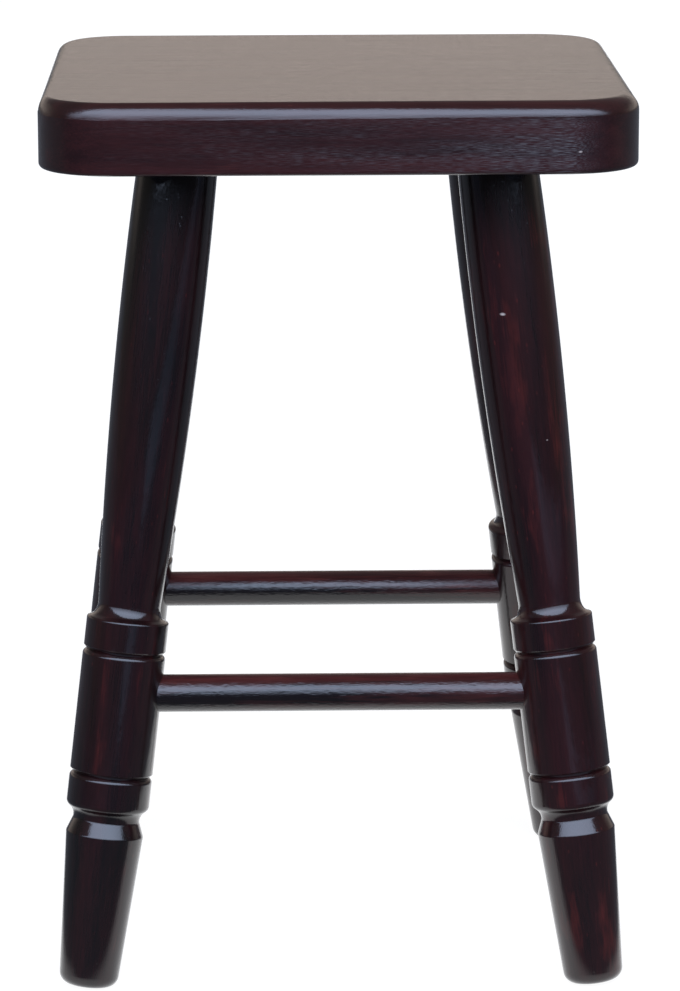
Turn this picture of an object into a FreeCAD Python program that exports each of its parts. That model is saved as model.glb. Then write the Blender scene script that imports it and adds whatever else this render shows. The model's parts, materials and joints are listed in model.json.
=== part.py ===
import FreeCAD, Part
import math
import os

# A low stool: a thick square seat glued up from boards, four turned legs that splay both ways
# and plug into blind sockets in the seat's underside, and four round stretchers between them.
# Millimetres. +X is to the right and +Z is up. The front faces -Y. The origin is on the floor,
# under the middle of the seat.

# Whole stool
stool_height = 450.0
seat_width = 294.0
seat_depth = 294.0
seat_thickness = 35.4

# Seat slab: rounded corners in plan, a generous round on top and a small chamfer underneath
seat_corner_radius = 37.4
seat_top_round = 8.0
seat_bottom_chamfer = 2.5

# The middle board's two glue joints, measured from the seat's centre line
middle_board_front_reach = 24.0
middle_board_back_reach = 28.0

# Legs: where their axes meet the seat's underside, measured in from the seat's edges, and how
# far they lean outwards, seen from the front and seen from the side
leg_inset_x = 68.0
leg_inset_y = 68.0
splay_x_degrees = 6.77
splay_y_degrees = 6.77

# Leg turning from the top down. Lengths run along the leg's own axis; the shaft takes what the
# others leave. The shaft is plain for a short way below its oblique shoulder, and then swells in
# one long arc through its top, its middle and its neck.
shaft_plain_length = 2.0
shaft_top_radius = 20.1
shaft_middle_radius = 20.4
neck_radius = 15.6
flare_length = 8.5
collar_length = 14.5
collar_inset = 0.2
arris_depth = 0.7
arris_length = 1.4
turned_radius = 20.85
groove_depth = 1.8
groove_upper_width = 2.0
groove_lower_width = 2.45
body_length = 58.1
ring_length = 11.9
cove_depth = 4.1
cove_upper_length = 8.1
cove_lower_length = 9.5
foot_length = 76.2
foot_top_radius = 19.5
foot_end_radius = 15.0
foot_edge_round = 6.0

# The feet are turned square to the leg and their low inner edges are worn flat on the floor
foot_wear = 0.8

# Round tenons on the legs, in blind sockets that leave some wood under the sitting face
tenon_radius = 12.5
wood_over_socket = 11.0
socket_end_gap = 1.0
joint_clearance = 0.1

# Stretchers: plain rods that enter the legs at full diameter. The front and back pair sit below
# the top of the legs' thick body; the side pair sits lower, so that no two sockets meet.
stretcher_radius = 9.45
stretcher_below_body_top = 18.8
wood_between_sockets = 5.0
stretcher_socket_depth = 18.0

# How far cutting solids run past the wood
overrun = 5.0

# Where the cove's two sides change from a rounded lip to a hollow, as shares of each side
cove_lip_share = 0.35
shoulder_share = 0.25

# Rounded stretches of the turning follow true arcs in a few narrow bands, so that four legs
# stay light. These are the numbers of bands.
shaft_bands = 6
foot_bands = 2
flare_bands = 2
hollow_bands = 1
lip_bands = 1
foot_edge_bands = 2
seat_round_bands = 3

underside = stool_height - seat_thickness
lean_x = math.tan(math.radians(splay_x_degrees))
lean_y = math.tan(math.radians(splay_y_degrees))
tilt = math.atan(math.hypot(lean_x, lean_y))

# A leg runs from the seat's underside to a little below the floor, where its foot is worn off
foot_flat_radius = foot_end_radius - foot_edge_round
leg_drop = underside + foot_wear - foot_edge_round - foot_flat_radius * math.sin(tilt)
leg_length = leg_drop / math.cos(tilt) + foot_edge_round

groove_width = groove_upper_width + groove_lower_width
cove_length = cove_upper_length + cove_lower_length
turned_length = (flare_length + collar_length + groove_width + body_length
                 + groove_width + ring_length + cove_length + foot_length)
shaft_length = leg_length - turned_length

# How far along the axis a leg's oblique shoulder reaches to either side, and where the turning
# starts before that shoulder is cut
shoulder_reach = shaft_top_radius * math.tan(tilt)
blank_top = -shoulder_reach - overrun
tenon_length = (seat_thickness - wood_over_socket - socket_end_gap) / math.cos(tilt)

body_top_station = shaft_length + flare_length + collar_length + groove_width
front_stretcher_height = (underside - body_top_station * math.cos(tilt)
                          - stretcher_below_body_top)
socket_radius = stretcher_radius + joint_clearance
side_stretcher_height = front_stretcher_height - 2 * socket_radius - wood_between_sockets


def vector(x, y, z):
    return FreeCAD.Vector(x, y, z)


def leg_point(radius, station):
    """A point of the leg's outline: station is measured down the axis from the underside."""
    return vector(radius, 0, -station)


def straight(start, end):
    return Part.LineSegment(start, end).toShape()


def long_taper(start, end):
    """A long slow taper, drawn as a spline: turned, it meshes far more lightly than a cone."""
    return Part.LineSegment(start, end).toBSpline().toShape()


def join_up(points, draw=straight):
    return [draw(start, end) for start, end in zip(points, points[1:])]


def arc_points(start, middle, end, bands):
    return Part.Arc(start, middle, end).toShape().discretize(bands + 1)


def bend(start, end, bands):
    """Points of an arc that leaves its start parallel to the leg's axis and bends to its end."""
    turn = 2 * math.atan2(abs(end.x - start.x), abs(end.z - start.z))
    radial_share = (1 - math.cos(turn / 2)) / (1 - math.cos(turn))
    axial_share = math.sin(turn / 2) / math.sin(turn)
    middle = vector(
        start.x + (end.x - start.x) * radial_share,
        0,
        start.z + (end.z - start.z) * axial_share)
    return arc_points(start, middle, end, bands)


def between(start, end, share):
    return start + (end - start) * share


def spin(edges):
    """Turn an outline that starts and ends on the axis into a solid."""
    face = Part.Face(Part.Wire(edges))
    return Part.makeSolid(face.revolve(vector(0, 0, 0), vector(0, 0, 1), math.degrees(math.tau)))


def shaft_edges():
    """The long upper shaft. Its top is plain, through the oblique shoulder and a little past."""
    swell_start = shoulder_reach + shaft_plain_length
    top = leg_point(shaft_top_radius, blank_top)
    start = leg_point(shaft_top_radius, swell_start)
    middle = leg_point(shaft_middle_radius, (swell_start + shaft_length) / 2)
    neck = leg_point(neck_radius, shaft_length)
    swell = arc_points(start, middle, neck, shaft_bands)
    plain = join_up([leg_point(0, blank_top), top, swell[0]])
    return plain + join_up(swell, long_taper)


def collar_edges(start):
    """The hollow flare under the neck, the softened arris and the collar's face."""
    neck = leg_point(neck_radius, start)
    arris = start + flare_length
    end = arris + collar_length
    collar_radius = turned_radius - collar_inset
    hollow_end = leg_point(collar_radius - arris_depth, arris)
    face_start = leg_point(collar_radius, arris + arris_length)
    return join_up(bend(neck, hollow_end, flare_bands) + [
        face_start,
        leg_point(collar_radius, end),
    ])


def groove_edges(start, radius):
    """A cut groove under a face of the given radius: a plain flank and a rounded lower lip."""
    bottom = leg_point(turned_radius - groove_depth, start + groove_upper_width)
    lip = bend(leg_point(turned_radius, start + groove_width), bottom, lip_bands)
    return join_up([leg_point(radius, start)] + lip[::-1])


def cove_edges(start):
    """The hollow between the lower ring and the foot's shoulder."""
    hollow = leg_point(turned_radius - cove_depth, start + cove_upper_length)
    ring_lip = leg_point(turned_radius, start)
    shoulder = leg_point(foot_top_radius, start + cove_length)
    upper_turn = between(ring_lip, hollow, cove_lip_share)
    lower_turn = between(shoulder, hollow, shoulder_share)
    points = bend(ring_lip, upper_turn, lip_bands)
    points += bend(hollow, upper_turn, hollow_bands)[-2::-1]
    points += bend(hollow, lower_turn, hollow_bands)[1:]
    points += bend(shoulder, lower_turn, lip_bands)[-2::-1]
    return join_up(points)


def foot_edges(start):
    """The tapered foot, its rounded edge and its flat end."""
    end = start + foot_length
    arc_inset = foot_edge_round * (1 - math.cos(math.pi / 4))
    shoulder = leg_point(foot_top_radius, start)
    side_end = leg_point(foot_end_radius, end - foot_edge_round)
    arc_middle = leg_point(foot_end_radius - arc_inset, end - arc_inset)
    flat_edge = leg_point(foot_flat_radius, end)
    side = [between(shoulder, side_end, band / foot_bands) for band in range(foot_bands + 1)]
    edge = arc_points(side_end, arc_middle, flat_edge, foot_edge_bands)
    return join_up(side, long_taper) + join_up(edge + [leg_point(0, end)])


def leg_outline():
    """The whole outline of the turning, from the axis at the top to the axis at the foot."""
    edges = shaft_edges() + collar_edges(shaft_length)
    station = shaft_length + flare_length + collar_length
    edges += groove_edges(station, turned_radius - collar_inset)
    body_start = station + groove_width
    body_end = body_start + body_length
    edges.append(straight(leg_point(turned_radius, body_start), leg_point(turned_radius, body_end)))
    edges += groove_edges(body_end, turned_radius)
    ring_start = body_end + groove_width
    ring_end = ring_start + ring_length
    edges.append(straight(leg_point(turned_radius, ring_start), leg_point(turned_radius, ring_end)))
    edges += cove_edges(ring_end)
    edges += foot_edges(ring_end + cove_length)
    edges.append(straight(leg_point(0, leg_length), leg_point(0, blank_top)))
    return edges


def rod(radius, start, end):
    """A round rod on the axis from one station to another, to use as it is or to bore with."""
    return Part.makeCylinder(radius, end - start, leg_point(0, start), vector(0, 0, -1))


def put_on_leg_axis(shape, side_x, side_y):
    """Lean a shape made on the upright axis and carry it to its leg's place at the seat."""
    direction = vector(side_x * lean_x, side_y * lean_y, -1)
    turn = FreeCAD.Rotation(vector(0, 0, -1), direction)
    place = vector(
        side_x * (seat_width / 2 - leg_inset_x),
        side_y * (seat_depth / 2 - leg_inset_y),
        underside)
    placed = shape.copy()
    placed.Placement = FreeCAD.Placement(place, turn)
    return placed


def leg_axis_at(height):
    """How far a leg's axis is from the stool's centre planes, at a height above the floor."""
    drop = underside - height
    return (
        seat_width / 2 - leg_inset_x + lean_x * drop,
        seat_depth / 2 - leg_inset_y + lean_y * drop)


def half_space(height, above):
    """A block wider than the stool, above or below a level."""
    reach = seat_width + seat_depth + stool_height
    block = Part.makeBox(reach, reach, reach)
    bottom = height if above else height - reach
    block.translate(vector(-reach / 2, -reach / 2, bottom))
    return block


def wall_distance(lean, other_lean):
    """From a leg's axis to its thick body's surface, along the line of a stretcher."""
    axis_length = math.hypot(math.hypot(lean, other_lean), 1)
    cosine = lean / axis_length
    return turned_radius / math.sqrt(1 - cosine * cosine)


def lay_along(shape, axis, middle):
    """Turn an upright shape to lie along X or Y, and carry it to its middle."""
    laid = shape.copy()
    laid.Placement = FreeCAD.Placement(middle, FreeCAD.Rotation(vector(0, 0, 1), axis))
    return laid


def stretcher_layout(name):
    """The line of a stretcher: its axis, its middle, and the leg's axis and wall along it."""
    if name in ("front", "back"):
        height = front_stretcher_height
        along, across = leg_axis_at(height)
        side = -1 if name == "front" else 1
        wall = along - wall_distance(lean_x, lean_y)
        return vector(1, 0, 0), vector(0, side * across, height), wall
    height = side_stretcher_height
    across, along = leg_axis_at(height)
    side = -1 if name == "left" else 1
    wall = along - wall_distance(lean_y, lean_x)
    return vector(0, 1, 0), vector(side * across, 0, height), wall


def make_stretcher(name):
    axis, middle, wall = stretcher_layout(name)
    reach = wall + stretcher_socket_depth - socket_end_gap
    return lay_along(rod(stretcher_radius, -reach, reach), axis, middle)


def stretcher_socket(name):
    """The bore that a stretcher needs in the two legs that it joins."""
    axis, middle, wall = stretcher_layout(name)
    reach = wall + stretcher_socket_depth
    return lay_along(rod(socket_radius, -reach, reach), axis, middle)


def make_leg(side_x, side_y):
    body = put_on_leg_axis(spin(leg_outline()), side_x, side_y)
    body = body.cut(half_space(underside, above=True))
    body = body.cut(half_space(0, above=False))
    tenon = rod(tenon_radius, -tenon_length, shoulder_reach + overrun)
    leg = body.fuse(put_on_leg_axis(tenon, side_x, side_y))
    for name in ("front" if side_y < 0 else "back", "left" if side_x < 0 else "right"):
        leg = leg.cut(stretcher_socket(name))
    return leg.removeSplitter().Solids[0]


def seat_outline(inset, height):
    """The seat's rounded plan, drawn in from its full size all round, as a wire at a height."""
    radius = seat_corner_radius - inset
    centre_x = seat_width / 2 - seat_corner_radius
    centre_y = seat_depth / 2 - seat_corner_radius
    corners = []
    for quarter, (side_x, side_y) in enumerate(((1, 1), (-1, 1), (-1, -1), (1, -1))):
        angles = [math.pi / 2 * (quarter + share) for share in (0, 0.5, 1)]
        corners.append([
            vector(
                side_x * centre_x + radius * math.cos(angle),
                side_y * centre_y + radius * math.sin(angle),
                height)
            for angle in angles])
    edges = []
    for corner, following in zip(corners, corners[1:] + corners[:1]):
        edges.append(Part.Arc(*corner).toShape())
        edges.append(straight(corner[-1], following[0]))
    return Part.Wire(edges)


def make_slab():
    """The seat as one slab, rounded and bored, before it is divided into its boards."""
    outlines = [
        seat_outline(seat_bottom_chamfer, underside),
        seat_outline(0, underside + seat_bottom_chamfer),
    ]
    for band in range(seat_round_bands + 1):
        angle = math.pi / 2 * band / seat_round_bands
        outlines.append(seat_outline(
            seat_top_round * (1 - math.cos(angle)),
            stool_height - seat_top_round * (1 - math.sin(angle))))
    slab = Part.makeLoft(outlines, True, True)
    for side_x in (-1, 1):
        for side_y in (-1, 1):
            socket = rod(
                tenon_radius + joint_clearance,
                -tenon_length - socket_end_gap,
                shoulder_reach + overrun)
            slab = slab.cut(put_on_leg_axis(socket, side_x, side_y))
    return slab


def make_boards():
    """Saw the slab along its glue joints."""
    cuts = {
        "seat_board_front": (-seat_depth / 2 - overrun, -middle_board_front_reach),
        "seat_board_middle": (-middle_board_front_reach, middle_board_back_reach),
        "seat_board_back": (middle_board_back_reach, seat_depth / 2 + overrun),
    }
    slab = make_slab()
    boards = {}
    for name, (front, back) in cuts.items():
        block = Part.makeBox(seat_width + overrun, back - front, seat_thickness + overrun)
        block.translate(vector(
            -(seat_width + overrun) / 2, front, underside - overrun / 2))
        boards[name] = slab.common(block).Solids[0]
    return boards


def make_parts():
    parts = make_boards()
    for side_y, end_name in ((-1, "front"), (1, "back")):
        for side_x, side_name in ((-1, "left"), (1, "right")):
            parts["leg_" + end_name + "_" + side_name] = make_leg(side_x, side_y)
    for name in ("front", "back", "left", "right"):
        parts["stretcher_" + name] = make_stretcher(name)
    return parts


os.makedirs("parts", exist_ok=True)
for node, shape in make_parts().items():
    box = shape.optimalBoundingBox(False)
    print(node, "valid", shape.isValid(), "solids", len(shape.Solids),
          "volume", round(shape.Volume), "z", round(box.ZMin, 2), round(box.ZMax, 2))
    shape.exportStep("parts/" + node + ".step")
print("leg length", round(leg_length, 2), "shaft", round(shaft_length, 2),
      "stretchers at", round(front_stretcher_height, 2), round(side_stretcher_height, 2))
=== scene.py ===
# %% [markdown]
# # A turned-leg stool in dark lacquered beech
# This lesson dresses a small wooden stool: a thick slab seat glued up from three boards, four
# lathe-turned legs that lean outwards both ways, and four round stretchers. The solid model of
# the stool is loaded first and stays where it is. Each solid is then replaced by a finished piece
# with real rounds, real turning marks and a lacquered surface.

# %% Load the frame
import json
import math

import bmesh
import bpy
from mathutils import Matrix, Vector

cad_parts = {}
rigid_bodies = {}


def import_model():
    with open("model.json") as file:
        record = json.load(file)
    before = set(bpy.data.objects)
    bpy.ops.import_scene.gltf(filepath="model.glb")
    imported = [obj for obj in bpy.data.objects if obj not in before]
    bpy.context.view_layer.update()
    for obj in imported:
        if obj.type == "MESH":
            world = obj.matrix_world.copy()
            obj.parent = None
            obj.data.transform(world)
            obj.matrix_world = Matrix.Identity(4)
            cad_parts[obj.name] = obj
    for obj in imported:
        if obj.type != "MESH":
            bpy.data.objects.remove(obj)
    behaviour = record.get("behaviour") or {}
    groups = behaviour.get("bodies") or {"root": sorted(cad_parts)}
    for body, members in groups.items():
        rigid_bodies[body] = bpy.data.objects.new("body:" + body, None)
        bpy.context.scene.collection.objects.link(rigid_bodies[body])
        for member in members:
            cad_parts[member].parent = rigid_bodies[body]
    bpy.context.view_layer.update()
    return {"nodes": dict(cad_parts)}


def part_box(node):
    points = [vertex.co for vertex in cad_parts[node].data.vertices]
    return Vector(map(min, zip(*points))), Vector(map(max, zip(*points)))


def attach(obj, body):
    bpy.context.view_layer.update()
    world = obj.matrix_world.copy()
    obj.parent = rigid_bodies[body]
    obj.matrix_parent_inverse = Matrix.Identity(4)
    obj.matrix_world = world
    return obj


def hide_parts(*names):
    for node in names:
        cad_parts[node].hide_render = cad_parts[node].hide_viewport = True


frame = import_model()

print("nodes:", sorted(frame["nodes"]))

# %% [markdown]
# ## Sizes
# A turner works in millimetres and Blender in metres, so every length is typed in millimetres and
# one helper turns it into metres. The seat's box comes from the frame, so that the pieces below
# land exactly where the solids are. The leg's lengths are listed from the top of the leg down.

# %% Sizes of the seat and where the legs stand
def mm(length):
    return length * 0.001


seat_low = Vector(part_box("seat_board_front")[0])
seat_high = Vector((seat_low.x + 2 * abs(seat_low.x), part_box("seat_board_back")[1].y, seat_low.z))
seat_high.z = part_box("seat_board_middle")[1].z
underside = seat_low.z
joint_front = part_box("seat_board_middle")[0].y
joint_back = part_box("seat_board_middle")[1].y

seat_corner_radius = mm(37.4)
seat_top_round = mm(8.0)
seat_bottom_round = mm(2.5)
glue_line_round = mm(0.08)

leg_inset = mm(68.0)
splay = math.radians(6.77)
lean = math.tan(splay)
tilt = math.atan(math.hypot(lean, lean))

print("seat", round(seat_high.x - seat_low.x, 4), "thick", round(seat_high.z - seat_low.z, 4))

# %% Sizes of the leg turning, from the top down
shaft_plain_length = mm(2.0)
shaft_top_radius = mm(20.1)
shaft_middle_radius = mm(20.4)
neck_radius = mm(15.6)
flare_length = mm(7.1)
flare_hollow_length = mm(5.6)
flare_hollow_depth = mm(1.65)
flare_shoulder_out = mm(0.4)
flare_shoulder_down = mm(0.6)
collar_length = mm(14.9)
collar_inset = mm(0.2)
arris_depth = mm(0.5)
arris_length = mm(1.2)
turned_radius = mm(20.85)
groove_depth = mm(1.8)
groove_upper_width = mm(2.0)
groove_lower_width = mm(2.45)
body_length = mm(58.1)
ring_length = mm(11.9)
cove_depth = mm(4.1)
cove_upper_length = mm(8.1)
cove_lower_length = mm(8.2)
cove_slope = math.radians(21)
foot_length = mm(77.5)
foot_top_radius = mm(19.5)
foot_end_radius = mm(15.0)
foot_edge_round = mm(6.0)
foot_wear = mm(0.8)
tenon_radius = mm(12.5)
tenon_chamfer = mm(1.5)
wood_over_tenon = mm(12.0)
overrun = mm(5.0)
cove_lip_share = 0.35
shoulder_share = 0.45

# How many straight pieces stand in for each curve of the outline
swell_steps = 48
flare_hollow_steps, flare_shoulder_steps, arris_steps = 9, 5, 5
groove_steps = 8
cove_lip_steps, cove_hollow_steps, cove_rise_steps, cove_slope_steps, shoulder_steps = 5, 8, 7, 3, 6
foot_side_steps, foot_edge_steps = 6, 8

groove_width = groove_upper_width + groove_lower_width
cove_length = cove_upper_length + cove_lower_length
foot_flat_radius = foot_end_radius - foot_edge_round
leg_drop = underside + foot_wear - foot_edge_round - foot_flat_radius * math.sin(tilt)
leg_length = leg_drop / math.cos(tilt) + foot_edge_round
shaft_length = leg_length - (flare_length + collar_length + groove_width + body_length
                             + groove_width + ring_length + cove_length + foot_length)
shoulder_reach = shaft_top_radius * math.tan(tilt)
tenon_length = (seat_high.z - underside - wood_over_tenon) / math.cos(tilt)

print("leg", round(leg_length, 4), "shaft", round(shaft_length, 4))

# %% [markdown]
# ## Drawing the turning
# A turned leg is one outline swept round an axis. It could be made by stacking cylinders and
# cones, or with a Screw modifier, but a drawn outline and one spin give the real thing: every
# hollow and lip is an arc that runs into the next one. A point of the outline is a radius and a
# station, which is how far down the leg it lies. Most of the rounded stretches are arcs that leave
# along the axis and bend away from it, so one helper draws them, run forwards or backwards. The
# shaft's swell and the flare's flat shoulder are no such arcs, and have a curve of their own.

# %% Outline helpers
def between(start, end, share):
    return tuple(a + (b - a) * share for a, b in zip(start, end))


def straight(start, end, steps):
    """A straight stretch in a few parts, so that its faces stay short."""
    return [between(start, end, step / steps) for step in range(1, steps + 1)]


def bend(start, end, steps):
    """An arc that leaves start along the axis and bends to end, without its first point."""
    (start_radius, start_station), (end_radius, end_station) = start, end
    out, down = end_radius - start_radius, end_station - start_station
    turn = 2 * math.atan2(abs(out), abs(down))
    arc_radius = abs(down) / math.sin(turn)
    points = []
    for step in range(1, steps + 1):
        angle = turn * step / steps
        points.append((
            start_radius + math.copysign(arc_radius * (1 - math.cos(angle)), out),
            start_station + math.copysign(arc_radius * math.sin(angle), down)))
    return points


def bend_back(start, end, steps):
    """The same arc run the other way: it arrives at end along the axis."""
    return bend(end, start, steps)[-2::-1] + [end]


def swell(top, middle, neck, steps):
    """The slow barrel curve of the shaft: a parabola through three radii, near enough an arc."""
    (top_radius, start), (middle_radius, _), (neck_radius_, end) = top, middle, neck
    points = []
    for step in range(1, steps + 1):
        share = step / steps
        radius = (top_radius * (1 - share) * (1 - 2 * share)
                  + 4 * middle_radius * share * (1 - share)
                  + neck_radius_ * share * (2 * share - 1))
        points.append((radius, start + (end - start) * share))
    return points


def round_corner(start, corner, end, steps):
    """A curve that leaves start towards the corner and reaches end from it."""
    points = []
    for step in range(1, steps + 1):
        share = step / steps
        points.append(between(
            between(start, corner, share), between(corner, end, share), share))
    return points


# %% The leg's outline
def leg_outline():
    """Points of the whole turning below the tenon, from the blank's top to the foot's centre."""
    blank_top = -shoulder_reach - overrun
    swell_start = shoulder_reach + shaft_plain_length
    shaft_top = (shaft_top_radius, swell_start)
    shaft_middle = (shaft_middle_radius, (swell_start + shaft_length) / 2)
    neck = (neck_radius, shaft_length)
    points = [(shaft_top_radius, blank_top), shaft_top]
    points += swell(shaft_top, shaft_middle, neck, swell_steps)

    arris = shaft_length + flare_length
    collar_radius = turned_radius - collar_inset
    hollow_end = (collar_radius - arris_depth, arris)
    flare_hollow = (neck_radius + flare_hollow_depth, shaft_length + flare_hollow_length)
    flare_corner = (flare_hollow[0] + flare_shoulder_out, flare_hollow[1] + flare_shoulder_down)
    points += bend(neck, flare_hollow, flare_hollow_steps)
    points += round_corner(flare_hollow, flare_corner, hollow_end, flare_shoulder_steps)
    points += bend_back(hollow_end, (collar_radius, arris + arris_length), arris_steps)
    points.append((collar_radius, arris + collar_length))

    def groove(station):
        bottom = (turned_radius - groove_depth, station + groove_upper_width)
        lip = (turned_radius, station + groove_width)
        return [bottom] + bend_back(bottom, lip, groove_steps)

    points += groove(arris + collar_length)
    body_end = arris + collar_length + groove_width + body_length
    points.append((turned_radius, body_end))
    points += groove(body_end)
    ring_end = body_end + groove_width + ring_length
    ring_lip = (turned_radius, ring_end)
    points.append(ring_lip)

    hollow = (turned_radius - cove_depth, ring_end + cove_upper_length)
    shoulder = (foot_top_radius, ring_end + cove_length)
    upper_turn = between(ring_lip, hollow, cove_lip_share)
    rise = foot_top_radius - hollow[0]
    half_slope = math.tan(cove_slope / 2)
    curved = (cove_lower_length * math.tan(cove_slope) - rise) / (math.tan(cove_slope) - half_slope)
    rounded, hollowed = curved * shoulder_share, curved * (1 - shoulder_share)
    slope_start = (hollow[0] + hollowed * half_slope, hollow[1] + hollowed)
    slope_end = (shoulder[0] - rounded * half_slope, shoulder[1] - rounded)
    points += bend(ring_lip, upper_turn, cove_lip_steps)
    points += bend_back(upper_turn, hollow, cove_hollow_steps)
    points += bend(hollow, slope_start, cove_rise_steps)
    points += straight(slope_start, slope_end, cove_slope_steps)
    points += bend_back(slope_end, shoulder, shoulder_steps)

    side_end = (foot_end_radius, leg_length - foot_edge_round)
    points += straight(shoulder, side_end, foot_side_steps)
    for step in range(1, foot_edge_steps + 1):
        angle = math.pi / 2 * step / foot_edge_steps
        points.append((
            foot_flat_radius + foot_edge_round * math.cos(angle),
            leg_length - foot_edge_round + foot_edge_round * math.sin(angle)))
    points.append((0, leg_length))
    return points


print("outline points", len(leg_outline()))

# %% [markdown]
# ## From outline to leg
# The outline is laid in a plane as a wire and spun once round the leg's axis. The leg then leans
# into place, and two flat cuts finish it: the oblique shoulder that meets the seat, and the small
# flat that wear has left on the foot. The tenon is a second, thinner spin, cut at the same plane,
# and a bridge joins the two rims, so that the leg is one closed skin.

# %% Spin a wire and place it
spin_steps = 96
merge_distance = mm(0.001)


def spin_outline(points):
    """A new bmesh with the outline turned right round the Z axis; stations run down."""
    bm = bmesh.new()
    verts = [bm.verts.new((radius, 0, -station)) for radius, station in points]
    edges = [bm.edges.new(pair) for pair in zip(verts, verts[1:])]
    bmesh.ops.spin(
        bm, geom=verts + edges, cent=(0, 0, 0), axis=(0, 0, 1), angle=math.tau,
        steps=spin_steps, use_merge=True, use_duplicate=False)
    bmesh.ops.remove_doubles(bm, verts=bm.verts, dist=merge_distance)
    bmesh.ops.recalc_face_normals(bm, faces=bm.faces)
    return bm


def cut_flat(bm, height, keep_below, fill=True):
    """Cut everything above or below a level away, and close the cut."""
    cut = bmesh.ops.bisect_plane(
        bm, geom=bm.verts[:] + bm.edges[:] + bm.faces[:], dist=merge_distance,
        plane_co=(0, 0, height), plane_no=(0, 0, 1),
        clear_outer=keep_below, clear_inner=not keep_below)
    rim = [edge for edge in cut["geom_cut"] if isinstance(edge, bmesh.types.BMEdge)]
    if fill:
        bmesh.ops.contextual_create(bm, geom=rim)
    return rim


def leg_placement(side_x, side_y):
    direction = Vector((side_x * lean, side_y * lean, -1))
    turn = Vector((0, 0, -1)).rotation_difference(direction).to_matrix().to_4x4()
    place = Vector((
        side_x * (seat_high.x - leg_inset), side_y * (seat_high.y - leg_inset), underside))
    return Matrix.Translation(place) @ turn


# %% [markdown]
# ## Grain that runs with the piece
# Wood grain follows the length of each piece, and the legs lean four different ways. A material
# on plain object coordinates would run straight up through all of them. So each vertex stores
# where it lay in its own billet, with the grain along Z, in an attribute named grain. Each piece
# also starts at another place in the wood, so no two show the same figure. Two more attributes
# say how red the wood is at that vertex, from its stain and also from painted shade under the seat
# and painted light on the stretchers' tops, and how much grey sits in the pores, which is bloom
# and, on the seat's upright faces, also a painted sheen.

# %% Make the object and store its grain
def grain_along(axis):
    """The turn that lays a board or rod with its length along axis back onto Z."""
    return Vector(axis).rotation_difference(Vector((0, 0, 1))).to_matrix().to_4x4()


def fade(value, start, end):
    """0 at start, 1 at end, and an even slope between them."""
    return max(0.0, min(1.0, (value - start) / (end - start)))


sharp_angle = math.radians(35)


def no_bloom(spot):
    return 0.0


def make_piece(bm, node, to_billet, billet_offset, redness_at, bloom_and_sheen_at=no_bloom):
    """Turn a bmesh into a finished piece that rides on the stool and replaces its solid."""
    bmesh.ops.recalc_face_normals(bm, faces=bm.faces)
    mesh = bpy.data.meshes.new(node + "_look")
    bm.to_mesh(mesh)
    bm.free()
    mesh.attributes.new("grain", "FLOAT_VECTOR", "POINT")
    mesh.attributes.new("redness", "FLOAT", "POINT")
    mesh.attributes.new("bloom", "FLOAT", "POINT")
    in_billet = [to_billet @ vertex.co + Vector(billet_offset) for vertex in mesh.vertices]
    for place, spot in zip(mesh.attributes["grain"].data, in_billet):
        place.vector = spot
    for place, vertex in zip(mesh.attributes["redness"].data, mesh.vertices):
        place.value = redness_at(vertex.co)
    for place, vertex in zip(mesh.attributes["bloom"].data, mesh.vertices):
        place.value = bloom_and_sheen_at(vertex.co)
    for polygon in mesh.polygons:
        polygon.use_smooth = True
    mesh.set_sharp_from_angle(angle=sharp_angle)
    piece = bpy.data.objects.new(node + "_look", mesh)
    bpy.context.scene.collection.objects.link(piece)
    shading = piece.modifiers.new("even_shading", "WEIGHTED_NORMAL")
    shading.keep_sharp = True
    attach(piece, "root")
    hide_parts(node)
    low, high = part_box(node)
    corners = [vertex.co for vertex in mesh.vertices]
    own_low = Vector([min(c[i] for c in corners) for i in range(3)])
    own_high = Vector([max(c[i] for c in corners) for i in range(3)])
    off = max(max(abs(c) for c in own_low - low), max(abs(c) for c in own_high - high))
    print(piece.name, len(mesh.polygons), "faces, furthest from the solid's box mm",
          round(off * 1000, 2))
    return piece


# %% [markdown]
# ## The four legs
# Front and back, left and right are mirror images in where they stand, but each is the same
# turning. They are cut from different billets, so each starts at another offset in the wood. The
# left legs took more stain than the right ones, and all are painted darker right under the seat,
# as painted shade.

# %% Build the legs
left_leg_redness, right_leg_redness = 0.35, 0.65
# Painted shade: the top of each leg is painted darker just under the seat.
painted_shade_under_seat = 0.4
painted_shade_starts, painted_shade_ends = mm(375), mm(410)
leg_billet_step, leg_billet_side = mm(300), mm(40)


def tenon_outline():
    return [
        (0, -tenon_length),
        (tenon_radius - tenon_chamfer, -tenon_length),
        (tenon_radius, -tenon_length + tenon_chamfer),
        (tenon_radius, shoulder_reach + overrun),
    ]


def leg_redness(side_x):
    """The redness of one leg, as a function of the place on it, with painted shade under the seat.
    """
    own = left_leg_redness if side_x < 0 else right_leg_redness
    return lambda spot: own - painted_shade_under_seat * fade(spot.z, painted_shade_starts, painted_shade_ends)


def make_leg(side_x, side_y):
    placement = leg_placement(side_x, side_y)
    bm = spin_outline(leg_outline())
    bm.transform(placement)
    shoulder = cut_flat(bm, underside, keep_below=True, fill=False)
    cut_flat(bm, 0, keep_below=False)
    tenon = spin_outline(tenon_outline())
    tenon.transform(placement)
    cut_flat(tenon, underside, keep_below=False, fill=False)
    holder = bpy.data.meshes.new("tenon")
    tenon.to_mesh(holder)
    tenon.free()
    bm.from_mesh(holder)
    bpy.data.meshes.remove(holder)
    rims = [edge for edge in bm.edges if edge.is_boundary]
    bmesh.ops.bridge_loops(bm, edges=rims)
    return bm, placement


legs = {}
for row, side_y in (("front", -1), ("back", 1)):
    for column, side_x in (("left", -1), ("right", 1)):
        bm, placement = make_leg(side_x, side_y)
        node = "leg_" + row + "_" + column
        billet = leg_billet_step * (2 * side_y + side_x)
        legs[node] = make_piece(
            bm, node, placement.inverted(), (billet, leg_billet_side, billet),
            leg_redness(side_x))
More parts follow.
